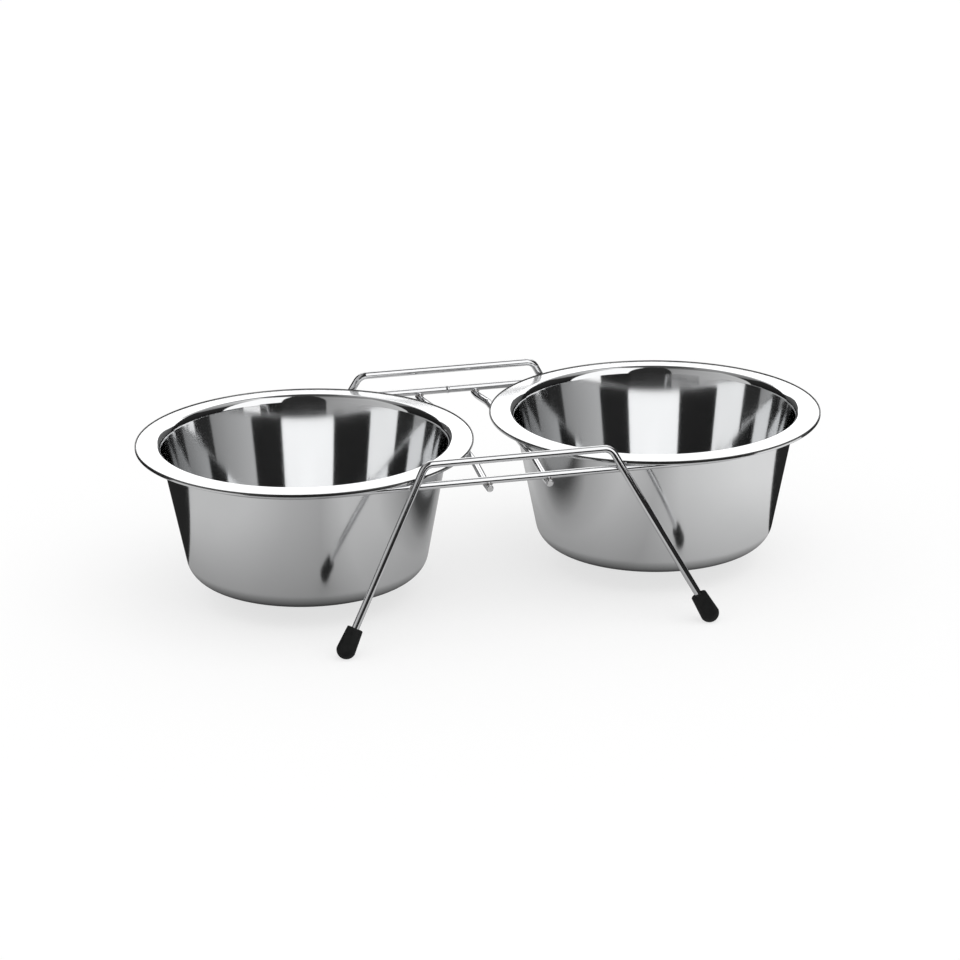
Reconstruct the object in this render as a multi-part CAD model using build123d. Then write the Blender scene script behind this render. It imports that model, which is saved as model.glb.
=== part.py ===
from build123d import *
import os
from math import atan, cos, degrees, radians, sin, sqrt, tan

# Double pet bowl: two pressed steel bowls hang side by side in a wire stand on four rubber feet.
# The stand is one closed seat loop, two cross wires under it and a bent leg frame on each long side.
# Lengths are in millimetres and angles in degrees.
# X runs along the pair of bowls, -Y is the front, Z is up and the floor is Z = 0.

# Bowls
rim_diameter = 160.0
flange_width = 11.5          # from the rim in to the wall's outside, at the rim's height
flange_droop = 4.5           # of the flange, down towards the rim
wall_draw = 12.5             # how far the wall draws in from the rim's height down to the base
bowl_height = 65.7           # base to the top of the rim
sheet = 0.6
flange_bend_radius = 1.4     # underside of the tight bend at the flange
neck_bend_radius = 3.9       # underside of the wider bend below it, at the wall
neck_slope = 40.0            # of the sheet between the two bends, down from level
neck_flat = 0.2              # straight sheet between the two bends
base_corner_radius = 11.0    # outside of the corner between wall and base
rim_bead = 1.5               # height of the rolled edge
rim_bead_width = 3.0
base_height = 10.5           # base above the floor
rim_gap = 12.5               # between the two rims

# Wire, and how the bowls sit in it
wire_diameter = 3.5
weld_sink = 0.3              # how deep two wires sink into each other where they are welded
wire_end_round = 0.4
seat_drop = 3.0              # from the underside of the sheet at the rim down to the seat loop's line
seat_clearance = 0.3         # between a bowl's wall and the seat loop
butt_weld_width = 1.6        # the ridge where the loop's two ends are welded together
butt_weld_height = 0.2

# Cross wires
cross_wire_gap = 2.0         # from the loop's circle around a bowl, carried on, to the cross wire's line
cross_wire_overhang = 1.2    # past the outside of the loop's bars
joggle_start = 4.0           # from the bar to the step up
joggle_length = 22.0
joggle_radius = 30.0

# Leg frames
top_bar_rise = 10.4          # from the seat loop's line up to the top bar's
frame_corner_radius = 5.5    # of the wire's centre line
leg_splay = 28.4             # of a leg seen from the front, out from the vertical
leg_lean = 13.2              # of a frame's plane, out from the vertical
leg_clearance = 0.3          # between a leg and a bowl's rim, measured level

# Feet
foot_diameter = 9.0          # where the dome starts
foot_top_diameter = 7.5
foot_length = 15.0
foot_dome = 3.8              # height of the domed end
foot_end = 4.0               # rubber below the wire's end, along the leg
foot_top_round = 0.6
foot_flat = 0.35             # how deep the dome is worn flat where it stands

# Places that follow from the sizes above
wire_radius = wire_diameter / 2
foot_radius = foot_diameter / 2
dome_radius = (foot_radius**2 + foot_dome**2) / (2 * foot_dome)
rim_radius = rim_diameter / 2
bowl_spacing = rim_diameter + rim_gap
bowl_x = bowl_spacing / 2
edge_radius = rim_radius - rim_bead / 2
rim_top = base_height + bowl_height
rim_underside = rim_top - sheet
flange_slope = tan(radians(flange_droop))
taper = wall_draw / (rim_underside - base_height)
wall_lean = atan(taper)


def wall_outside(height):
    """Outside radius of the tapered wall at a height."""
    return rim_radius - flange_width - taper * (rim_underside - height)


def wall_inside(height):
    """Inside radius of the tapered wall at a height."""
    return wall_outside(height) - sheet / cos(wall_lean)


def flange_rise(radius):
    """How far the drooping flange lies above the rim's level, at a radius."""
    return flange_slope * (edge_radius - radius)


def flange_corner_rise(wall_radius):
    """How far above the rim's level the flange meets a wall of the given radius at that level."""
    return flange_rise(wall_radius) / (1 + taper * flange_slope)


def neck_corners(radius, height, flange_bend, neck_bend):
    """The corners, on the wall and on the flange, that the two bends round off the meeting of wall and flange."""
    wall_turn = 90 - neck_slope - degrees(wall_lean)
    flange_turn = neck_slope + flange_droop
    neck = neck_bend * tan(radians(wall_turn / 2)) + neck_flat + flange_bend * tan(radians(flange_turn / 2))
    whole_turn = sin(radians(wall_turn + flange_turn))
    down_wall = neck * sin(radians(flange_turn)) / whole_turn
    along_flange = neck * sin(radians(wall_turn)) / whole_turn
    droop = radians(flange_droop)
    on_wall = (radius - down_wall * sin(wall_lean), height - down_wall * cos(wall_lean))
    on_flange = (radius + along_flange * cos(droop), height - along_flange * sin(droop))
    return on_wall, on_flange


# The loop holds the tapered wall, a clearance away from it, just under the bends.
loop_height = rim_underside - seat_drop
loop_radius = wall_outside(loop_height) + (wire_radius + seat_clearance) / cos(wall_lean)

weld_distance = wire_diameter - weld_sink
cross_wire_x = bowl_x - loop_radius - cross_wire_gap
weld_y = loop_radius + weld_distance / cos(radians(leg_lean))


def frame_y(height):
    """Distance of a leg frame's leaning plane from the middle at a height."""
    return weld_y + (loop_height - height) * tan(radians(leg_lean))


# Each leg passes the rim of the bowl behind it with a clearance.
rim_height = rim_top - rim_bead / 2
leg_reach = rim_radius + wire_radius + leg_clearance
leg_x_at_rim = bowl_x - sqrt(leg_reach**2 - frame_y(rim_height) ** 2)


def leg_x(height):
    """Distance of a leg's axis from the middle at a height."""
    return leg_x_at_rim + (rim_height - height) * tan(radians(leg_splay))


top_bar_height = loop_height + top_bar_rise
top_corner = Vector(leg_x(top_bar_height), frame_y(top_bar_height), top_bar_height)
floor_point = Vector(leg_x(0), frame_y(0), 0)
leg_axis = (top_corner - floor_point).normalized()
dome_center = floor_point + leg_axis * ((dome_radius - foot_flat) / leg_axis.Z)
wire_end = dome_center + leg_axis * (foot_end - dome_radius)


def on_side(point, side_x, side_y):
    """The same point on the left or right (side_x) and the front or rear (side_y)."""
    return Vector(point.X * side_x, point.Y * side_y, point.Z)


def wire_along(path):
    """Round wire swept along a path of straight runs and arcs."""
    section = Plane(origin=path @ 0, z_dir=path % 0) * Circle(wire_radius)
    return sweep(section, path=path)


def bowl(center_x):
    """Pressed bowl with a necked mouth, a slightly drooping flange, a rolled edge and a rounded base."""
    bead_inner_radius = rim_radius - rim_bead_width
    bead_round = rim_bead / 2
    bead_underside = rim_top - rim_bead
    bead_top_inside = rim_underside + flange_rise(bead_inner_radius)
    floor_inside = base_height + sheet
    neck_bend_top = neck_bend_radius + sheet
    flange_bend_top = flange_bend_radius + sheet
    corner_outside = rim_underside + flange_corner_rise(wall_outside(rim_underside))
    corner_inside = rim_top + flange_corner_rise(wall_inside(rim_top))
    wall_below, flange_below = neck_corners(
        wall_outside(corner_outside), corner_outside, flange_bend_radius, neck_bend_radius
    )
    wall_above, flange_above = neck_corners(
        wall_inside(corner_inside), corner_inside, flange_bend_top, neck_bend_top
    )
    with BuildPart() as shell:
        with BuildSketch(Plane.XZ):
            with BuildLine():
                FilletPolyline(
                    (0, base_height),
                    (wall_outside(base_height), base_height),
                    wall_below,
                    flange_below,
                    (bead_inner_radius, bead_top_inside),
                    radius=[base_corner_radius, neck_bend_radius, flange_bend_radius],
                )
                Polyline(
                    (bead_inner_radius, bead_top_inside),
                    (bead_inner_radius, bead_underside),
                    (edge_radius, bead_underside),
                )
                ThreePointArc(
                    (edge_radius, bead_underside),
                    (rim_radius, rim_top - bead_round),
                    (edge_radius, rim_top),
                )
                FilletPolyline(
                    (edge_radius, rim_top),
                    flange_above,
                    wall_above,
                    (wall_inside(floor_inside), floor_inside),
                    (0, floor_inside),
                    radius=[flange_bend_top, neck_bend_top, base_corner_radius - sheet],
                )
                Line((0, floor_inside), (0, base_height))
            make_face()
        revolve(axis=Axis.Z)
    return Pos(center_x, 0, 0) * shell.part


def seat_loop():
    """Closed loop of wire: a half circle round each bowl, joined by a front and a rear bar."""
    start = Plane(origin=(bowl_x, -loop_radius, loop_height), z_dir=(1, 0, 0))
    section = start * Circle(wire_radius)
    right_arc = revolve(section, axis=Axis((bowl_x, 0, 0), (0, 0, 1)), revolution_arc=180)
    front_bar = extrude(section, amount=-bowl_spacing)
    left_arc = mirror(right_arc, about=Plane.YZ)
    rear_bar = mirror(front_bar, about=Plane.XZ)
    return right_arc + front_bar + left_arc + rear_bar + butt_weld()


def butt_weld():
    """Low ridge round the middle of the rear bar, where the loop was closed."""
    half_width = butt_weld_width / 2
    crest = wire_radius + butt_weld_height
    with BuildPart() as ridge:
        with BuildSketch():
            with BuildLine():
                ThreePointArc((-half_width, wire_radius), (0, crest), (half_width, wire_radius))
                Polyline((half_width, wire_radius), (half_width, 0), (-half_width, 0), (-half_width, wire_radius))
            make_face()
        revolve(axis=Axis.X)
    return Pos(0, loop_radius, loop_height) * ridge.part


def leg_frame(side_y, loop):
    """One wire bent into a top bar and two legs, saddled where it is welded to the loop."""
    path = FilletPolyline(
        on_side(wire_end, -1, side_y),
        on_side(top_corner, -1, side_y),
        on_side(top_corner, 1, side_y),
        on_side(wire_end, 1, side_y),
        radius=frame_corner_radius,
    )
    return wire_along(path) - loop


def cross_wire(side_x, loop):
    """Straight wire between the bowls, stepped down at its ends to pass under the loop's bars."""
    low = loop_height - weld_distance
    end_y = loop_radius + wire_radius + cross_wire_overhang
    step_low_y = loop_radius - joggle_start
    step_high_y = step_low_y - joggle_length
    half = [(end_y, low), (step_low_y, low), (step_high_y, loop_height)]
    front = [Vector(side_x * cross_wire_x, -y, z) for y, z in half]
    rear = [Vector(side_x * cross_wire_x, y, z) for y, z in reversed(half)]
    wire = wire_along(FilletPolyline(*front, *rear, radius=joggle_radius))
    ends = wire.edges().sort_by(Axis.Y)
    wire = fillet([ends[0], ends[-1]], wire_end_round)
    return wire - loop


def foot(side_x, side_y, frame):
    """Tapered rubber cap with a domed end, pushed onto a leg and worn flat where it stands."""
    dome_start = foot_dome - dome_radius
    top = foot_length - dome_radius
    with BuildPart() as cap:
        with BuildSketch(Plane.XZ):
            with BuildLine():
                Polyline((0, -dome_radius), (0, top), (foot_top_diameter / 2, top), (foot_radius, dome_start))
                RadiusArc((foot_radius, dome_start), (0, -dome_radius), dome_radius)
            make_face()
        revolve(axis=Axis.Z)
        fillet(cap.edges().sort_by(Axis.Z)[-1], foot_top_round)
    seat = Plane(origin=on_side(dome_center, side_x, side_y), z_dir=on_side(leg_axis, side_x, side_y))
    below_floor = Pos(seat.origin.X, seat.origin.Y, 0) * Box(
        foot_length, foot_length, foot_length, align=(Align.CENTER, Align.CENTER, Align.MAX)
    )
    return seat * cap.part - below_floor - frame


left_right = {"left": -1, "right": 1}
front_rear = {"front": -1, "rear": 1}

nodes = {}
nodes["seat_loop"] = seat_loop()
for x_name, side_x in left_right.items():
    nodes[x_name + "_bowl"] = bowl(side_x * bowl_x)
    nodes[x_name + "_cross_wire"] = cross_wire(side_x, nodes["seat_loop"])
for y_name, side_y in front_rear.items():
    frame = leg_frame(side_y, nodes["seat_loop"])
    nodes[y_name + "_leg_frame"] = frame
    for x_name, side_x in left_right.items():
        nodes[y_name + "_" + x_name + "_foot"] = foot(side_x, side_y, frame)

os.makedirs("parts", exist_ok=True)
for name, solid in nodes.items():
    export_step(solid, "parts/" + name + ".step")
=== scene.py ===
from math import atan, cos, pi, radians, sin, sqrt, tan

import bmesh
import bpy
from mathutils import Matrix, Vector, noise


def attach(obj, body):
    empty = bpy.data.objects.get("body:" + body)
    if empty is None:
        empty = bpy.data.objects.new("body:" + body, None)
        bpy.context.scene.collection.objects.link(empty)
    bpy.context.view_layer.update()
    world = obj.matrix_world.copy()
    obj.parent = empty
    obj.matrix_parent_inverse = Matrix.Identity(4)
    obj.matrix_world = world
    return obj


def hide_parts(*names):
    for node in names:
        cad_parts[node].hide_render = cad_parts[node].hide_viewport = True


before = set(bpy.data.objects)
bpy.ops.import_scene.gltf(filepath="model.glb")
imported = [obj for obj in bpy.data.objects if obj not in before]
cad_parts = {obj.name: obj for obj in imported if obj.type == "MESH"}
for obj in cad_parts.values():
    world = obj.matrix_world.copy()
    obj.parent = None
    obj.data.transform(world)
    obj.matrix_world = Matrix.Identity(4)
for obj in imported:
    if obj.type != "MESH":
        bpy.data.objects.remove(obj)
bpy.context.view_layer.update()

# Double pet bowl: the pieces repeat the CAD model's sizes, in metres, with finer forms and finishes.
mm = 0.001

# Bowls
rim_radius = 80.0 * mm
flange_width = 11.5 * mm
flange_droop = radians(4.5)
wall_draw = 12.5 * mm
bowl_height = 65.7 * mm
sheet = 0.6 * mm
flange_bend_radius = 1.4 * mm
neck_bend_radius = 3.9 * mm
neck_slope = radians(40.0)
neck_flat = 0.2 * mm
base_corner_radius = 11.0 * mm
hem_height = 1.5 * mm
hem_width = 3.0 * mm
hem_rise = 0.4 * mm          # of the rolled edge's crest above the rim's level
hem_ramp = 0.3 * mm          # width of the slope from the flange up to the crest
hem_crest_width = 0.45 * mm  # from the top of the slope out to the rim
hem_round = 0.3 * mm         # rounding of the crest's outer edge
hem_low_round = 0.7 * mm     # rounding under the rim
hem_painted_dark_height = 0.75 * mm  # how far the dull edge, painted dark as shade, reaches down the rim's face
fold_round = 0.1 * mm        # inside the folded edge
sheet_end_round = 0.25 * mm  # of the folded sheet's own edge
base_height = 10.5 * mm
rim_gap = 12.5 * mm
bowl_steps = 192             # faces round a bowl
support = 0.25 * mm          # a narrow face beside each bend keeps the flats flat in reflections
supported_run = 3 * support  # the shortest flat that gets such faces

# Wire and welds
wire_radius = 1.75 * mm
weld_sink = 0.3 * mm
wire_end_round = 0.4 * mm
seat_drop = 3.0 * mm
seat_clearance = 0.3 * mm
butt_weld_width = 1.6 * mm
butt_weld_height = 0.2 * mm
cross_wire_gap = 2.0 * mm
cross_wire_overhang = 1.2 * mm
joggle_start = 4.0 * mm
joggle_length = 22.0 * mm
joggle_radius = 30.0 * mm
top_bar_rise = 10.4 * mm
frame_corner_radius = 5.5 * mm
leg_splay = radians(28.4)
leg_lean = radians(13.2)
leg_clearance = 0.3 * mm
wire_steps = 24              # faces round a wire
bend_step = radians(4.0)     # a bend's turn from one ring to the next
bead_sizes = (2.1 * mm, 1.5 * mm, 1.0 * mm)  # half a weld bead's length, width and thickness
bead_unevenness = 0.16       # swelling of a weld bead, as a share of its size
bead_lumps = 1.7             # lumps across half a weld bead

# Feet
foot_radius = 4.5 * mm
foot_top_radius = 3.75 * mm
foot_length = 15.0 * mm
foot_dome = 3.8 * mm
foot_end = 4.0 * mm
foot_top_round = 0.6 * mm
foot_flat = 0.35 * mm        # how much of the dome the flat standing face cuts off
foot_steps = 48              # faces round a foot
dome_steps = 14              # faces from the dome's tip to its edge

# Places that follow, as in the CAD model
bowl_x = rim_radius + rim_gap / 2
rim_top = base_height + bowl_height
rim_underside = rim_top - sheet
flange_slope = tan(flange_droop)
taper = wall_draw / (rim_underside - base_height)
wall_lean = atan(taper)


def wall_outside(height):
    """Outside radius of the tapered wall at a height."""
    return rim_radius - flange_width - taper * (rim_underside - height)


def wall_inside(height):
    """Inside radius of the tapered wall at a height."""
    return wall_outside(height) - sheet / cos(wall_lean)


def flange_rise(radius):
    """How far the drooping flange lies above the rim's level, at a radius."""
    return flange_slope * (rim_radius - hem_height / 2 - radius)


def flange_corner_rise(wall_radius):
    """How far above the rim's level the flange meets a wall of the given radius at that level."""
    return flange_rise(wall_radius) / (1 + taper * flange_slope)


def neck_corners(radius, height, flange_bend, neck_bend):
    """Corners of the sloping neck between wall and flange: where it leaves the wall and meets the flange."""
    wall_turn = pi / 2 - neck_slope - wall_lean
    flange_turn = neck_slope + flange_droop
    neck = neck_bend * tan(wall_turn / 2) + neck_flat + flange_bend * tan(flange_turn / 2)
    down_wall = neck * sin(flange_turn) / sin(wall_turn + flange_turn)
    along_flange = neck * sin(wall_turn) / sin(wall_turn + flange_turn)
    on_wall = (radius - down_wall * sin(wall_lean), height - down_wall * cos(wall_lean))
    on_flange = (radius + along_flange * cos(flange_droop), height - along_flange * sin(flange_droop))
    return Vector(on_wall), Vector(on_flange)


loop_height = rim_underside - seat_drop
loop_radius = wall_outside(loop_height) + (wire_radius + seat_clearance) / cos(wall_lean)
weld_distance = 2 * wire_radius - weld_sink
cross_wire_x = bowl_x - loop_radius - cross_wire_gap
cross_wire_low = loop_height - weld_distance
weld_y = loop_radius + weld_distance / cos(leg_lean)


def frame_y(height):
    """Distance of a leg frame's leaning plane from the middle at a height."""
    return weld_y + (loop_height - height) * tan(leg_lean)


rim_height = rim_top - hem_height / 2
leg_reach = rim_radius + wire_radius + leg_clearance
leg_x_at_rim = bowl_x - sqrt(leg_reach**2 - frame_y(rim_height) ** 2)


def leg_x(height):
    """Distance of a leg's axis from the middle at a height."""
    return leg_x_at_rim + (rim_height - height) * tan(leg_splay)


top_bar_height = loop_height + top_bar_rise
top_corner = Vector((leg_x(top_bar_height), frame_y(top_bar_height), top_bar_height))
floor_point = Vector((leg_x(0), frame_y(0), 0))
leg_axis = (top_corner - floor_point).normalized()
dome_radius = (foot_radius**2 + foot_dome**2) / (2 * foot_dome)
dome_center = floor_point + leg_axis * ((dome_radius - foot_flat) / leg_axis.z)
wire_end = dome_center + leg_axis * (foot_end - dome_radius)
left_right = {"left": -1, "right": 1}
front_rear = {"front": -1, "rear": 1}


def on_side(point, side_x, side_y):
    """The same point on the left or right (side_x) and the front or rear (side_y)."""
    return Vector((point.x * side_x, point.y * side_y, point.z))


# Mesh building

sharp_edge_angle = radians(40)


def new_object(name, mesh_builder, materials):
    """Object from a bmesh, smooth apart from its real edges."""
    mesh = bpy.data.meshes.new(name)
    bmesh.ops.recalc_face_normals(mesh_builder, faces=mesh_builder.faces)
    mesh_builder.to_mesh(mesh)
    mesh_builder.free()
    mesh.shade_smooth()
    mesh.set_sharp_from_angle(angle=sharp_edge_angle)
    for material in materials:
        mesh.materials.append(material)
    piece = bpy.data.objects.new(name, mesh)
    bpy.context.scene.collection.objects.link(piece)
    return piece


def bent_line(points, radii):
    """Points along straight runs with an arc of the given radius at each inner corner."""
    corners = list(zip(points, points[1:], points[2:], radii))
    tangents = [radius / tan((a - b).angle(c - b) / 2) for a, b, c, radius in corners]
    ends = [0, *tangents, 0]
    runs = [(b - a).length - s - t for a, b, s, t in zip(points, points[1:], ends, ends[1:])]
    line = [points[0]]
    for i, (before, corner, after, radius) in enumerate(corners):
        to_before = (before - corner).normalized()
        to_after = (after - corner).normalized()
        half = to_before.angle(to_after) / 2
        center = corner + (to_before + to_after).normalized() * (radius / sin(half))
        start = corner + to_before * tangents[i] - center
        end = corner + to_after * tangents[i] - center
        turn = start.angle(end)
        steps = max(2, round(turn / bend_step))
        if runs[i] > supported_run:
            line.append(center + start + to_before * support)
        for k in range(steps + 1):
            share = k / steps
            spoke = (start * sin((1 - share) * turn) + end * sin(share * turn)) / sin(turn)
            line.append(center + spoke)
        if runs[i + 1] > supported_run:
            line.append(center + end + to_after * support)
    line.append(points[-1])
    return line


def lathe(profile, steps, finishes=None):
    """Bmesh of (radius, height) points turned round Z. Each run takes the finish of the point it ends at."""
    turned = bmesh.new()
    rings = []
    for radius, height in profile:
        if radius == 0:
            rings.append([turned.verts.new((0, 0, height))])
            continue
        angles = [2 * pi * i / steps for i in range(steps)]
        rings.append([turned.verts.new((radius * cos(a), radius * sin(a), height)) for a in angles])
    for end, (low, high) in enumerate(zip(rings, rings[1:]), start=1):
        for i in range(steps):
            j = (i + 1) % steps
            corners = [low[i % len(low)], low[j % len(low)], high[j % len(high)], high[i % len(high)]]
            face = turned.faces.new(list(dict.fromkeys(corners)))
            face.material_index = finishes[end] if finishes else 0
    return turned


def tube(path, plane_normal, radii, closed=False):
    """Bmesh of a round wire along a flat path, with lengthwise UVs for its drawing lines.

    The end faces of an open wire take its second material.
    """
    wire = bmesh.new()
    lengthwise = wire.loops.layers.uv.new("lengthwise")
    count = len(path)
    rings = []
    lengths = [0.0]
    for i, point in enumerate(path):
        before = path[i - 1] if closed or i > 0 else point
        after = path[(i + 1) % count] if closed or i < count - 1 else point
        along = ((point - before).normalized() + (after - point).normalized()).normalized()
        sideways = along.cross(plane_normal)
        ring = []
        for k in range(wire_steps):
            angle = 2 * pi * k / wire_steps
            offset = plane_normal * cos(angle) + sideways * sin(angle)
            ring.append(wire.verts.new(point + offset * radii[i]))
        rings.append(ring)
        lengths.append(lengths[-1] + (after - point).length)
    for i in range(count if closed else count - 1):
        ring, following = rings[i], rings[(i + 1) % count]
        for k in range(wire_steps):
            m = (k + 1) % wire_steps
            face = wire.faces.new((ring[k], ring[m], following[m], following[k]))
            round_share = (k / wire_steps, (k + 1) / wire_steps, (k + 1) / wire_steps, k / wire_steps)
            lengthwise_share = (lengths[i], lengths[i], lengths[i + 1], lengths[i + 1])
            for corner, u, v in zip(face.loops, round_share, lengthwise_share):
                corner[lengthwise].uv = (u, v)
    if not closed:
        for ring in (rings[0], rings[-1]):
            wire.faces.new(ring).material_index = 1
    return wire


def rounded_ends(path, radii, round_radius, steps=4):
    """Path and radii with the two end edges rounded."""
    ends = []
    for tip, inner in ((path[0], path[1]), (path[-1], path[-2])):
        along = (inner - tip).normalized()
        rings = [(tip + along * (round_radius + support), wire_radius)]
        for i in range(steps + 1):
            angle = pi / 2 * i / steps
            inset = round_radius * (1 - sin(angle))
            radius = wire_radius - round_radius * (1 - cos(angle))
            rings.append((tip + along * inset, radius))
        ends.append(rings)
    first = list(reversed(ends[0]))
    last = ends[1]
    points = [p for p, r in first] + path[1:-1] + [p for p, r in last]
    sizes = [r for p, r in first] + radii[1:-1] + [r for p, r in last]
    return points, sizes


# Materials


def new_material(name):
    """Node material with only a Principled BSDF, and its nodes and links."""
    material = bpy.data.materials.new(name)
    material.use_nodes = True
    nodes = material.node_tree.nodes
    return material, nodes, material.node_tree.links, nodes["Principled BSDF"]


def noise_node(nodes, links, vector, scale, detail=2.0):
    """Noise texture on the given coordinates, and its 0 to 1 output."""
    texture = nodes.new("ShaderNodeTexNoise")
    texture.inputs["Scale"].default_value = scale
    texture.inputs["Detail"].default_value = detail
    links.new(vector, texture.inputs["Vector"])
    return texture.outputs["Fac"]


def spread(nodes, links, value, low, high, from_low=0.3, from_high=0.7):
    """Maps a value from its own range, by default that of a noise, to the range low to high."""
    ranged = nodes.new("ShaderNodeMapRange")
    ranged.inputs["From Min"].default_value = from_low
    ranged.inputs["From Max"].default_value = from_high
    ranged.inputs["To Min"].default_value = low
    ranged.inputs["To Max"].default_value = high
    links.new(value, ranged.inputs["Value"])
    return ranged.outputs["Result"]


def added(nodes, links, first, second):
    """Sum of two values."""
    total = nodes.new("ShaderNodeMath")
    links.new(first, total.inputs[0])
    links.new(second, total.inputs[1])
    return total.outputs["Value"]


def tinted(nodes, links, value, dark, light):
    """Colour between dark and light by a 0 to 1 value."""
    ramp = nodes.new("ShaderNodeValToRGB")
    ramp.color_ramp.elements[0].color = (*dark, 1)
    ramp.color_ramp.elements[1].color = (*light, 1)
    links.new(value, ramp.inputs["Fac"])
    return ramp.outputs["Color"]


def bumped(nodes, links, value, distance, strength, shader):
    """Bump of a height value, in metres, on a shader's normal."""
    bump = nodes.new("ShaderNodeBump")
    bump.inputs["Distance"].default_value = distance
    bump.inputs["Strength"].default_value = strength
    links.new(value, bump.inputs["Height"])
    links.new(bump.outputs["Normal"], shader.inputs["Normal"])


def object_place(nodes):
    """A point's coordinates in its own object."""
    return nodes.new("ShaderNodeTexCoord").outputs["Object"]


def stretched(nodes, links, vector, scales):
    """Coordinates multiplied by a scale for each axis."""
    mapping = nodes.new("ShaderNodeMapping")
    mapping.inputs["Scale"].default_value = scales
    links.new(vector, mapping.inputs["Vector"])
    return mapping.outputs["Vector"]


def turned_coordinates(nodes, links):
    """Coordinates (radius, height, 0) round the piece's own Z axis, for lines left by spinning."""
    place = object_place(nodes)
    parts = nodes.new("ShaderNodeSeparateXYZ")
    links.new(place, parts.inputs["Vector"])
    flat = nodes.new("ShaderNodeCombineXYZ")
    links.new(parts.outputs["X"], flat.inputs["X"])
    links.new(parts.outputs["Y"], flat.inputs["Y"])
    length = nodes.new("ShaderNodeVectorMath")
    length.operation = "LENGTH"
    links.new(flat.outputs["Vector"], length.inputs[0])
    joined = nodes.new("ShaderNodeCombineXYZ")
    links.new(length.outputs["Value"], joined.inputs["X"])
    links.new(parts.outputs["Z"], joined.inputs["Y"])
    return place, joined.outputs["Vector"]


def bowl_steel(name, roughness, line_roughness, metallic=1.0):
    """Stainless steel polished on a lathe, with fine rings and faint smears. Less metallic is hazier."""
    material, nodes, links, shader = new_material(name)
    place, turned = turned_coordinates(nodes, links)
    rings = noise_node(nodes, links, turned, scale=2600.0, detail=3.0)
    smears = noise_node(nodes, links, place, scale=38.0, detail=4.0)
    ring_share = spread(nodes, links, rings, low=roughness, high=roughness + line_roughness)
    smear_share = spread(nodes, links, smears, low=0.0, high=line_roughness)
    links.new(added(nodes, links, ring_share, smear_share), shader.inputs["Roughness"])
    color = tinted(nodes, links, smears, dark=(0.76, 0.765, 0.77), light=(0.8, 0.805, 0.81))
    links.new(color, shader.inputs["Base Color"])
    shader.inputs["Metallic"].default_value = metallic
    shader.inputs["Anisotropic"].default_value = 0.4
    shader.inputs["Anisotropic Rotation"].default_value = 0.25
    tangent = nodes.new("ShaderNodeTangent")
    tangent.direction_type = "RADIAL"
    tangent.axis = "Z"
    links.new(tangent.outputs["Tangent"], shader.inputs["Tangent"])
    bumped(nodes, links, rings, distance=0.004 * mm, strength=0.15, shader=shader)
    return material


def painted_dark_edge_steel():
    """Rolled edge of the sheet: unpolished and dull, with drawn lines round it, and painted darker than the
    flange as painted shade along the rim.
    """
    material, nodes, links, shader = new_material("bowl_steel_edge_painted_dark")
    place, turned = turned_coordinates(nodes, links)
    rings = noise_node(nodes, links, turned, scale=5200.0, detail=3.0)
    wear_in_painted_shade = noise_node(nodes, links, place, scale=90.0, detail=4.0)
    links.new(spread(nodes, links, rings, low=0.26, high=0.4), shader.inputs["Roughness"])
    # Painted shade: the edge's colour is painted near black for the dark line along the rim; the noise
    # varies it at random.
    color = tinted(nodes, links, wear_in_painted_shade, dark=(0.1, 0.1, 0.1), light=(0.2, 0.2, 0.2))
    links.new(color, shader.inputs["Base Color"])
    shader.inputs["Metallic"].default_value = 1.0
    bumped(nodes, links, rings, distance=0.01 * mm, strength=0.3, shader=shader)
    return material


def wire_chrome():
    """Bright chrome plate over drawn wire: lengthwise lines and a little waviness."""
    material, nodes, links, shader = new_material("wire_chrome")
    lines_map = nodes.new("ShaderNodeUVMap")
    lines_map.uv_map = "lengthwise"
    drawn = stretched(nodes, links, lines_map.outputs["UV"], scales=(28.0, 45.0, 1.0))
    lines = noise_node(nodes, links, drawn, scale=1.0, detail=3.0)
    place = object_place(nodes)
    haze = noise_node(nodes, links, place, scale=160.0, detail=3.0)
    line_share = spread(nodes, links, lines, low=0.02, high=0.045)
    haze_share = spread(nodes, links, haze, low=0.0, high=0.025)
    links.new(added(nodes, links, line_share, haze_share), shader.inputs["Roughness"])
    color = tinted(nodes, links, haze, dark=(0.77, 0.775, 0.785), light=(0.83, 0.83, 0.84))
    links.new(color, shader.inputs["Base Color"])
    shader.inputs["Metallic"].default_value = 1.0
    bumped(nodes, links, lines, distance=0.006 * mm, strength=0.1, shader=shader)
    return material


def cut_wire():
    """Sawn end of a wire: dull, with crossing saw marks."""
    material, nodes, links, shader = new_material("wire_cut_end")
    sawn = stretched(nodes, links, object_place(nodes), scales=(900.0, 900.0, 4500.0))
    marks = noise_node(nodes, links, sawn, scale=1.0, detail=3.0)
    links.new(spread(nodes, links, marks, low=0.4, high=0.55), shader.inputs["Roughness"])
    color = tinted(nodes, links, marks, dark=(0.6, 0.6, 0.6), light=(0.78, 0.78, 0.78))
    links.new(color, shader.inputs["Base Color"])
    shader.inputs["Metallic"].default_value = 0.6
    bumped(nodes, links, marks, distance=0.02 * mm, strength=0.4, shader=shader)
    return material


def weld_metal():
    """Plated weld metal: duller than the wire, pitted, with a slight heat tint."""
    material, nodes, links, shader = new_material("weld_metal")
    place = object_place(nodes)
    pits = noise_node(nodes, links, place, scale=1400.0, detail=4.0)
    links.new(spread(nodes, links, pits, low=0.22, high=0.42), shader.inputs["Roughness"])
    color = tinted(nodes, links, pits, dark=(0.42, 0.4, 0.38), light=(0.66, 0.65, 0.64))
    links.new(color, shader.inputs["Base Color"])
    shader.inputs["Metallic"].default_value = 1.0
    bumped(nodes, links, pits, distance=0.08 * mm, strength=0.6, shader=shader)
    return material


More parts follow.
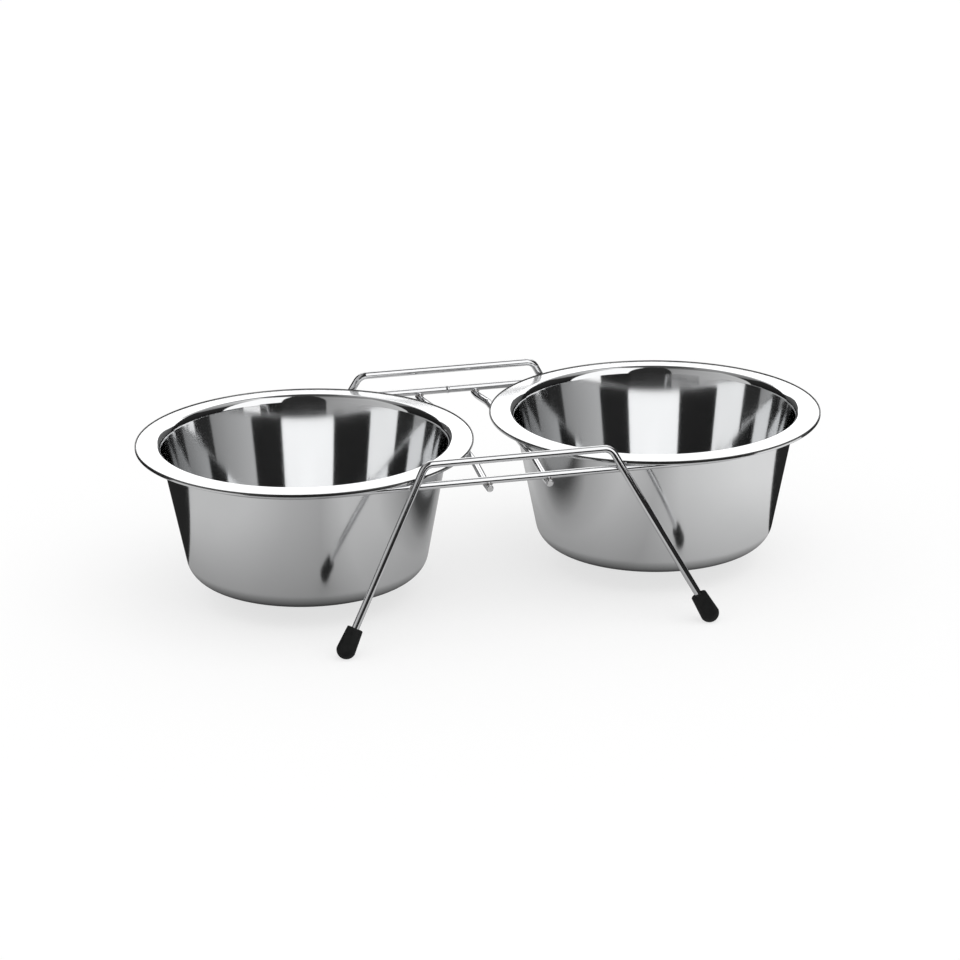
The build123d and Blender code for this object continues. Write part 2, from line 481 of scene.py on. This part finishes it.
def foot_rubber():
    """Black moulded rubber: fine grain, slightly worn and dusty near the floor."""
    material, nodes, links, shader = new_material("foot_rubber_black")
    place = object_place(nodes)
    grain = noise_node(nodes, links, place, scale=2200.0, detail=3.0)
    patches = noise_node(nodes, links, place, scale=240.0, detail=4.0)
    parts = nodes.new("ShaderNodeSeparateXYZ")
    links.new(place, parts.inputs["Vector"])
    dust_height = 3.0 * mm
    dust = spread(nodes, links, parts.outputs["Z"], low=0.35, high=0.0, from_low=0.0, from_high=dust_height)
    worn = added(nodes, links, spread(nodes, links, patches, low=0.0, high=0.5), dust)
    color = tinted(nodes, links, worn, dark=(0.005, 0.0055, 0.0055), light=(0.016, 0.016, 0.0155))
    links.new(color, shader.inputs["Base Color"])
    links.new(spread(nodes, links, patches, low=0.5, high=0.72), shader.inputs["Roughness"])
    shader.inputs["Specular IOR Level"].default_value = 0.2
    bumped(nodes, links, grain, distance=0.04 * mm, strength=0.35, shader=shader)
    return material


steel_inside = bowl_steel("bowl_steel_polished", roughness=0.05, line_roughness=0.02)
steel_outside = bowl_steel("bowl_steel_satin", roughness=0.09, line_roughness=0.03)
steel_flange = bowl_steel("bowl_steel_brushed", roughness=0.15, line_roughness=0.05, metallic=0.7)
edge_painted_dark = painted_dark_edge_steel()
chrome = wire_chrome()
cut_end = cut_wire()
weld = weld_metal()
rubber = foot_rubber()


# Bowls

hem_crest = rim_top + hem_rise
hem_bottom = rim_top - hem_height
painted_dark_from = hem_crest - hem_painted_dark_height
crest_start = rim_radius - hem_crest_width
ramp_start = crest_start - hem_ramp
flange_edge = Vector((ramp_start, rim_top + flange_rise(ramp_start)))


def outside_line():
    """Outside of the bowl's sheet, from the middle of the base round the folded hem to the dull edge."""
    hem_inner = rim_radius - hem_width
    fold = rim_radius - sheet
    corner = rim_underside + flange_corner_rise(wall_outside(rim_underside))
    on_wall, on_flange = neck_corners(wall_outside(corner), corner, flange_bend_radius, neck_bend_radius)
    points = [
        Vector((0, base_height)),
        Vector((wall_outside(base_height), base_height)),
        on_wall,
        on_flange,
        Vector((fold, rim_underside)),
        Vector((fold, hem_bottom + sheet)),
        Vector((hem_inner, hem_bottom + sheet)),
        Vector((hem_inner, hem_bottom)),
        Vector((rim_radius, hem_bottom)),
        Vector((rim_radius, painted_dark_from)),
    ]
    radii = [
        base_corner_radius,
        neck_bend_radius,
        flange_bend_radius,
        fold_round,
        fold_round,
        sheet_end_round,
        sheet_end_round,
        hem_low_round,
    ]
    return bent_line(points, radii)


def edge_line():
    """Dull rolled edge, painted dark as shade, from the rim's face over the crest down to the flange."""
    points = [
        Vector((rim_radius, painted_dark_from)),
        Vector((rim_radius, hem_crest)),
        Vector((crest_start, hem_crest)),
        flange_edge,
    ]
    return bent_line(points, [hem_round, hem_round / 2])


def inside_line():
    """Top of the flange and inside of the bowl, from the flange's edge to the middle of the floor."""
    floor_inside = base_height + sheet
    neck_bend = neck_bend_radius + sheet
    flange_bend = flange_bend_radius + sheet
    corner = rim_top + flange_corner_rise(wall_inside(rim_top))
    on_wall, on_flange = neck_corners(wall_inside(corner), corner, flange_bend, neck_bend)
    points = [
        flange_edge,
        on_flange,
        on_wall,
        Vector((wall_inside(floor_inside), floor_inside)),
        Vector((0, floor_inside)),
    ]
    return bent_line(points, [flange_bend, neck_bend, base_corner_radius - sheet])


def bowl_profile():
    """Outline of the bowl's sheet from the base's outside to its inside, in runs named by their finish."""
    inside = inside_line()
    flange_end = 3  # after the flange's edge, the narrow face beside its bend, and the bend's start
    return (
        ("outside", outside_line()),
        ("edge", edge_line()[1:]),
        ("flange", inside[1:flange_end]),
        ("inside", inside[flange_end:]),
    )


def make_bowl(name, side_x):
    """Pressed steel bowl: polished inside, satin outside, with a brushed flange and a dull rolled edge
    painted dark as shade.
    """
    finishes = {"inside": 0, "outside": 1, "edge": 2, "flange": 3}
    profile = []
    finish_of_point = []
    for finish, points in bowl_profile():
        profile += points
        finish_of_point += [finishes[finish]] * len(points)
    turned = lathe(profile, bowl_steps, finish_of_point)
    piece = new_object(name + "_shell", turned, [steel_inside, steel_outside, edge_painted_dark, steel_flange])
    piece.location.x = side_x * bowl_x
    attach(piece, name)
    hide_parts(name)


# Stand


def finish_wire(piece, node):
    """Puts a wire piece in the place of its CAD node."""
    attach(piece, "stand")
    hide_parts(node)


def make_seat_loop():
    """Closed loop of wire: a half circle round each bowl, two bars, and a ridge where it was joined."""
    arc_steps = round(pi / bend_step)
    half_width = butt_weld_width / 2
    bar_end = bowl_x - support
    ridge_steps = 8
    ridge = [half_width - butt_weld_width * i / ridge_steps for i in range(ridge_steps + 1)]
    rear_bar = [bar_end, half_width + support, *ridge, -half_width - support, -bar_end]
    path = []
    for side_x in (1, -1):
        for i in range(arc_steps + 1):
            angle = -side_x * pi / 2 + pi * i / arc_steps
            x = side_x * bowl_x + loop_radius * cos(angle)
            path.append(Vector((x, loop_radius * sin(angle), loop_height)))
        bar = rear_bar if side_x == 1 else [-bar_end, bar_end]
        path += [Vector((x, side_x * loop_radius, loop_height)) for x in bar]
    radii = []
    for point in path:
        on_ridge = point.y > 0 and abs(point.x) < half_width
        rise = butt_weld_height * (1 - (point.x / half_width) ** 2) if on_ridge else 0
        radii.append(wire_radius + rise)
    loop = tube(path, Vector((0, 0, 1)), radii, closed=True)
    finish_wire(new_object("seat_loop_wire", loop, [chrome]), "seat_loop")


def make_leg_frame(name, side_y):
    """One wire bent into a top bar and two splayed legs."""
    corners = [(wire_end, -1), (top_corner, -1), (top_corner, 1), (wire_end, 1)]
    points = [on_side(point, side_x, side_y) for point, side_x in corners]
    path = bent_line(points, [frame_corner_radius] * 2)
    across = (points[1] - points[0]).cross(points[2] - points[1]).normalized()
    wire = tube(path, across, [wire_radius] * len(path))
    finish_wire(new_object(name + "_wire", wire, [chrome, cut_end]), name)


def make_cross_wire(name, side_x):
    """Straight wire between the bowls, stepped down at its ends to pass under the loop's bars."""
    end_y = loop_radius + wire_radius + cross_wire_overhang
    step_low_y = loop_radius - joggle_start
    step_high_y = step_low_y - joggle_length
    half = [(end_y, cross_wire_low), (step_low_y, cross_wire_low), (step_high_y, loop_height)]
    x = side_x * cross_wire_x
    points = [Vector((x, -y, z)) for y, z in half] + [Vector((x, y, z)) for y, z in reversed(half)]
    path = bent_line(points, [joggle_radius] * 4)
    path, radii = rounded_ends(path, [wire_radius] * len(path), wire_end_round)
    wire = tube(path, Vector((1, 0, 0)), radii)
    finish_wire(new_object(name + "_steel", wire, [chrome, cut_end]), name)


def make_weld(name, point, along, across):
    """Small uneven bead of weld metal squeezed out where two wires cross."""
    bead = bmesh.new()
    bmesh.ops.create_icosphere(bead, subdivisions=4, radius=1.0)
    turn = Matrix((along, across, along.cross(across))).transposed()
    for vert in bead.verts:
        swell = 1 + bead_unevenness * noise.noise(vert.co * bead_lumps + point / mm)
        shaped = Vector([place * size for place, size in zip(vert.co, bead_sizes)])
        vert.co = point + turn @ (shaped * swell)
    piece = new_object(name, bead, [weld])
    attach(piece, "stand")


def make_welds():
    """Weld beads where the cross wires and the leg frames meet the loop's bars."""
    along_bar = Vector((1, 0, 0))
    backward = Vector((0, 1, 0))
    upward = Vector((0, 0, 1))
    under_bar = (loop_height + cross_wire_low) / 2
    beside_bar = (loop_radius + weld_y) / 2
    for y_name, side_y in front_rear.items():
        for x_name, side_x in left_right.items():
            under = Vector((side_x * cross_wire_x, side_y * loop_radius, under_bar))
            make_weld(f"weld_cross_{y_name}_{x_name}", under, along_bar, backward)
            beside = Vector((side_x * leg_x(loop_height), side_y * beside_bar, loop_height))
            make_weld(f"weld_leg_{y_name}_{x_name}", beside, along_bar, upward)


# Feet


def make_foot(name, side_x, side_y):
    """Tapered rubber cap with a rolled mouth and a domed end, flat where it stands."""
    top = foot_length - dome_radius
    mouth = wire_radius
    dome_half = atan(foot_radius / (dome_radius - foot_dome))
    profile = [Vector((0, -dome_radius))]
    for i in range(1, dome_steps + 1):
        angle = dome_half * i / dome_steps
        profile.append(Vector((dome_radius * sin(angle), -dome_radius * cos(angle))))
    profile += bent_line(
        [
            profile[-1],
            Vector((foot_top_radius, top)),
            Vector((mouth, top)),
            Vector((mouth, top - foot_top_round)),
        ],
        [foot_top_round, foot_top_round / 3],
    )[1:]
    profile.append(Vector((0, top - foot_top_round)))
    cap = lathe(profile, foot_steps)
    axis = on_side(leg_axis, side_x, side_y)
    turn = Vector((0, 0, 1)).rotation_difference(axis).to_matrix()
    center = on_side(dome_center, side_x, side_y)
    for vert in cap.verts:
        vert.co = center + turn @ vert.co
        vert.co.z = max(vert.co.z, 0)
    piece = new_object(name + "_cap", cap, [rubber])
    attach(piece, "stand")
    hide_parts(name)


make_seat_loop()
for x_name, side_x in left_right.items():
    make_bowl(x_name + "_bowl", side_x)
    make_cross_wire(x_name + "_cross_wire", side_x)
for y_name, side_y in front_rear.items():
    make_leg_frame(y_name + "_leg_frame", side_y)
    for x_name, side_x in left_right.items():
        make_foot(f"{y_name}_{x_name}_foot", side_x, side_y)
make_welds()


# Camera, at the photograph's viewing angle

camera_azimuth = radians(-13.8)
camera_elevation = radians(19.01)
camera_roll = radians(-0.63)
camera_distance = 1.6842
camera_target = Vector((-0.00105, 0, 0.04824))
camera_lens = 131.385        # millimetres, as is the sensor
camera_sensor = 36.0
camera_clip_end = 50.0


def make_camera():
    """Long-lens camera that looks down on the front of the stand, slightly from the left."""
    right = Vector((cos(camera_azimuth), sin(camera_azimuth), 0))
    level = Vector((sin(camera_azimuth), -cos(camera_azimuth), 0))
    back = level * cos(camera_elevation) + Vector((0, 0, sin(camera_elevation)))
    up = back.cross(right)
    rolled_right = right * cos(camera_roll) + up * sin(camera_roll)
    rolled_up = up * cos(camera_roll) - right * sin(camera_roll)
    data = bpy.data.cameras.new("camera")
    data.lens = camera_lens
    data.sensor_width = camera_sensor
    data.clip_end = camera_clip_end
    camera = bpy.data.objects.new("camera", data)
    bpy.context.scene.collection.objects.link(camera)
    axes = Matrix((rolled_right, rolled_up, back)).transposed().to_4x4()
    camera.matrix_world = Matrix.Translation(camera_target + back * camera_distance) @ axes
    bpy.context.scene.camera = camera


# Studio: a white floor, soft light, and panels and flags that only reflections see

floor_white_share = 0.7      # of the floor's look that is plain white, the rest being lit and shaded
floor_size = 8.0
film_height = 0.2 * mm       # of the film of painted shade above the floor
card_height = 0.4 * mm       # of the dark cards on the floor
dark_card_grey = 0.02


def emitter(name, brightness):
    """Material that gives off an even grey light."""
    material = bpy.data.materials.new(name)
    material.use_nodes = True
    nodes = material.node_tree.nodes
    nodes.clear()
    emission = nodes.new("ShaderNodeEmission")
    emission.inputs["Color"].default_value = (brightness, brightness, brightness, 1)
    output = nodes.new("ShaderNodeOutputMaterial")
    material.node_tree.links.new(emission.outputs["Emission"], output.inputs["Surface"])
    return material


def panel_light():
    """Grey light that changes evenly over a panel, by the brightness kept at its points."""
    material = emitter("panel_light", 1.0)
    nodes = material.node_tree.nodes
    brightness = nodes.new("ShaderNodeAttribute")
    brightness.attribute_name = "brightness"
    material.node_tree.links.new(brightness.outputs["Fac"], nodes["Emission"].inputs["Strength"])
    return material


def stage_object(name, builder, material):
    """Studio object, which isn't part of the bowl stand."""
    mesh = bpy.data.meshes.new(name)
    builder.to_mesh(mesh)
    builder.free()
    mesh.materials.append(material)
    item = bpy.data.objects.new(name, mesh)
    bpy.context.scene.collection.objects.link(item)
    return item


def between(pair, share):
    """Value between two others, by a 0 to 1 share."""
    return pair[0] + (pair[1] - pair[0]) * share


def only_in_reflections(item):
    """Hides a studio object from all but reflections."""
    item.visible_camera = False
    item.visible_diffuse = False
    item.visible_transmission = False
    item.visible_volume_scatter = False
    item.visible_shadow = False


def seen_rays(nodes, links):
    """Value that is 1 for the rays that show a background: camera, glossy and transmission rays."""
    paths = nodes.new("ShaderNodeLightPath")
    shown = paths.outputs["Is Camera Ray"]
    for ray in ("Is Glossy Ray", "Is Transmission Ray"):
        either = nodes.new("ShaderNodeMath")
        either.operation = "MAXIMUM"
        links.new(shown, either.inputs[0])
        links.new(paths.outputs[ray], either.inputs[1])
        shown = either.outputs["Value"]
    return shown


def make_floor():
    """Plain white floor that keeps a light shadow of the object."""
    material, nodes, links, shader = new_material("floor_white")
    shader.inputs["Base Color"].default_value = (0.97, 0.97, 0.97, 1)
    shader.inputs["Roughness"].default_value = 1.0
    shader.inputs["Specular IOR Level"].default_value = 0.0
    white = nodes.new("ShaderNodeEmission")
    white.inputs["Color"].default_value = (1, 1, 1, 1)
    white_share = nodes.new("ShaderNodeMath")
    white_share.operation = "MULTIPLY"
    white_share.inputs[1].default_value = floor_white_share
    links.new(seen_rays(nodes, links), white_share.inputs[0])
    mixed = nodes.new("ShaderNodeMixShader")
    links.new(white_share.outputs["Value"], mixed.inputs["Fac"])
    links.new(shader.outputs["BSDF"], mixed.inputs[1])
    links.new(white.outputs["Emission"], mixed.inputs[2])
    links.new(mixed.outputs["Shader"], nodes["Material Output"].inputs["Surface"])
    floor = bmesh.new()
    bmesh.ops.create_grid(floor, x_segments=1, y_segments=1, size=floor_size)
    stage_object("floor", floor, material)


def make_card(name, corners, material):
    """Flat card that only reflections see."""
    card = bmesh.new()
    card.faces.new([card.verts.new(corner) for corner in corners])
    only_in_reflections(stage_object(name, card, material))


def make_floor_card(name, low, high, height, material):
    """Card lying just above the floor, between its low and its high corner."""
    corners = (low, (high[0], low[1]), high, (low[0], high[1]))
    make_card(name, [(x, y, height) for x, y in corners], material)


# Painted shade of the floor in reflections, as shares of white: first at places from left to right, then a
# painted shadow by the distance from a bowl's axis
painted_shade_greys = (
    (-0.2, 0.62),
    (-0.14, 0.49),
    (-0.09, 0.43),
    (-0.05, 0.6),
    (0.0, 0.6),
    (0.05, 0.49),
    (0.09, 0.67),
    (0.2, 0.84),
)
painted_shadow_greys = ((0.045, 0.14), (0.072, 0.74), (0.135, 1.0))


def grey_ramp(nodes, links, value, greys):
    """Grey by a value, between the given places."""
    first, last = greys[0], greys[-1]
    ramp = nodes.new("ShaderNodeValToRGB")
    stops = ramp.color_ramp.elements
    stops[0].color = (first[1], first[1], first[1], 1)
    stops[1].color = (last[1], last[1], last[1], 1)
    for place, grey in greys[1:-1]:
        stops.new((place - first[0]) / (last[0] - first[0])).color = (grey, grey, grey, 1)
    share = spread(nodes, links, value, low=0.0, high=1.0, from_low=first[0], from_high=last[0])
    links.new(share, ramp.inputs["Fac"])
    return ramp.outputs["Color"]


def bowl_distance(nodes, links, x, y):
    """Distance of a place on the floor from the nearer bowl's axis."""
    aside = nodes.new("ShaderNodeMath")
    aside.operation = "ABSOLUTE"
    links.new(x, aside.inputs[0])
    from_bowl = nodes.new("ShaderNodeMath")
    from_bowl.operation = "SUBTRACT"
    from_bowl.inputs[1].default_value = bowl_x
    links.new(aside.outputs["Value"], from_bowl.inputs[0])
    flat = nodes.new("ShaderNodeCombineXYZ")
    links.new(from_bowl.outputs["Value"], flat.inputs["X"])
    links.new(y, flat.inputs["Y"])
    distance = nodes.new("ShaderNodeVectorMath")
    distance.operation = "LENGTH"
    links.new(flat.outputs["Vector"], distance.inputs[0])
    return distance.outputs["Value"]


def painted_floor_shade():
    """Film that greys the floor in reflections with painted shade, most under the bowls as a painted shadow
    and on the left.
    """
    material = bpy.data.materials.new("painted_floor_shade")
    material.use_nodes = True
    nodes = material.node_tree.nodes
    links = material.node_tree.links
    nodes.clear()
    parts = nodes.new("ShaderNodeSeparateXYZ")
    links.new(object_place(nodes), parts.inputs["Vector"])
    x, y = parts.outputs["X"], parts.outputs["Y"]
    shade = nodes.new("ShaderNodeVectorMath")
    shade.operation = "MULTIPLY"
    # Painted shade across the floor, times a painted shadow round each bowl's axis.
    links.new(grey_ramp(nodes, links, x, painted_shade_greys), shade.inputs[0])
    links.new(grey_ramp(nodes, links, bowl_distance(nodes, links, x, y), painted_shadow_greys), shade.inputs[1])
    film = nodes.new("ShaderNodeBsdfTransparent")
    links.new(shade.outputs["Vector"], film.inputs["Color"])
    output = nodes.new("ShaderNodeOutputMaterial")
    links.new(film.outputs["BSDF"], output.inputs["Surface"])
    return material


# Low and high corner of the film of painted shade and of each dark card on the floor, in metres from the
# middle
film_corners = ((-0.5, -0.7), (0.5, 0.3))
dark_floor_cards = (
    ("left_dark_card", (-0.5, 0.045), (-0.145, 0.3)),
    ("right_dark_card", (0.155, 0.003), (0.5, 0.3)),
    ("front_dark_card", (-3.0, -6.0), (3.0, -0.19)),
    ("back_dark_card", (-3.0, 0.3), (3.0, 6.0)),
)
# Corners of the card that stands before the right front leg
leg_card_corners = (
    (0.108, -0.2, 0.02),
    (0.18, -0.12, 0.02),
    (0.18, -0.12, 0.11),
    (0.108, -0.2, 0.11),
)


def make_cards():
    """Film of painted shade and shadow under the bowls, and dark cards round it that edge the polished
    metal.
    """
    dark = emitter("dark_card", dark_card_grey)
    make_floor_card("painted_shade_film", *film_corners, film_height, painted_floor_shade())
    for name, low, high in dark_floor_cards:
        make_floor_card(name, low, high, card_height, dark)
    make_card("leg_dark_card", leg_card_corners, dark)


studio_radius = 6.0
studio_center = Vector((0, 0, 0.05))
panel_columns = 24
panel_rows = 12
# Each panel's azimuths and elevations in degrees, and its brightness at the low and the high corners.
studio_panels = (
    ("back_left_low_flag", (121, 154.5), (-3, 22), (0.05, 0.15), (0.1, 0.2)),
    ("back_low_flag", (154.5, 179), (-3, 6), (0.15, 0.15), (0.4, 0.4)),
    ("back_low_panel", (154.5, 179), (6, 22), (1.8, 1.8), (1.8, 1.8)),
    ("back_right_low_flag", (179, 207), (-3, 22), (0.06, 0.02), (0.15, 0.1)),
    ("back_panel", (121, 207), (22, 38), (1.5, 1.5), (1.5, 1.5)),
    ("back_top_panel", (121, 207), (38, 75), (0.8, 0.8), (0.05, 0.05)),
    ("right_flag", (57, 121), (-3, 45), (0.008, 0.008), (0.03, 0.03)),
    ("right_top_panel", (57, 121), (45, 75), (0.2, 0.2), (0.9, 0.9)),
    ("front_right_low_flag", (6, 24), (-3, 9), (0.02, 0.02), (0.02, 0.02)),
    ("front_right_low_panel", (24, 57), (-3, 9), (1.25, 1.25), (1.25, 1.25)),
    ("front_right_panel", (6, 57), (9, 75), (1.25, 1.25), (1.25, 1.25)),
    ("front_flag", (-30, 6), (-3, 75), (0.03, 0.03), (0.03, 0.03)),
    ("front_left_panel", (257, 330), (-3, 60), (0.66, 0.36), (0.6, 0.3)),
    ("left_front_top_flag", (257, 330), (60, 75), (0.3, 0.2), (0.15, 0.1)),
    ("left_flag", (207, 257), (-3, 45), (0.006, 0.006), (0.03, 0.03)),
    ("left_top_panel", (207, 257), (45, 75), (0.2, 0.2), (0.35, 0.35)),
    ("ceiling_flag", (0, 360), (75, 90), (0.08, 0.08), (0.03, 0.03)),
)


def make_panel(material, name, azimuths, elevations, low_brightness, high_brightness):
    """Curved panel round the object. Azimuth 0 is straight ahead of the object and 90 on its right."""
    panel = bmesh.new()
    brightness = panel.verts.layers.float.new("brightness")
    rows = []
    for j in range(panel_rows + 1):
        elevation = radians(between(elevations, j / panel_rows))
        row = []
        for i in range(panel_columns + 1):
            azimuth = radians(between(azimuths, i / panel_columns))
            away = Vector((sin(azimuth) * cos(elevation), -cos(azimuth) * cos(elevation), sin(elevation)))
            vert = panel.verts.new(studio_center + away * studio_radius)
            low = between(low_brightness, i / panel_columns)
            high = between(high_brightness, i / panel_columns)
            vert[brightness] = between((low, high), j / panel_rows)
            row.append(vert)
        rows.append(row)
    for lower, upper in zip(rows, rows[1:]):
        for i in range(panel_columns):
            panel.faces.new((lower[i], lower[i + 1], upper[i + 1], upper[i]))
    only_in_reflections(stage_object(name, panel, material))


def make_world():
    """White surroundings: full white to the camera and in reflections, a plain soft level as light."""
    world = bpy.data.worlds.new("studio")
    bpy.context.scene.world = world
    world.use_nodes = True
    nodes = world.node_tree.nodes
    links = world.node_tree.links
    seen = nodes["Background"]
    seen.inputs["Color"].default_value = (1, 1, 1, 1)
    seen.inputs["Strength"].default_value = 1.0
    light = nodes.new("ShaderNodeBackground")
    light.inputs["Color"].default_value = (1, 1, 1, 1)
    light.inputs["Strength"].default_value = 0.85
    mixed = nodes.new("ShaderNodeMixShader")
    links.new(seen_rays(nodes, links), mixed.inputs["Fac"])
    links.new(light.outputs["Background"], mixed.inputs[1])
    links.new(seen.outputs["Background"], mixed.inputs[2])
    links.new(mixed.outputs["Shader"], nodes["World Output"].inputs["Surface"])


def make_key_light():
    """Wide soft light from over the front right, for a soft shadow."""
    data = bpy.data.lights.new("key_light", "SUN")
    data.angle = radians(60)
    data.energy = 0.7
    key = bpy.data.objects.new("key_light", data)
    bpy.context.scene.collection.objects.link(key)
    key.location = (0.4, -0.5, 1.5)
    key.rotation_euler = (-key.location).to_track_quat("-Z", "Y").to_euler()
    key.visible_glossy = False


make_camera()
make_floor()
make_cards()
panel_grey = panel_light()
for panel in studio_panels:
    make_panel(panel_grey, *panel)
make_world()
make_key_light()
bpy.context.scene.view_settings.view_transform = "Standard"
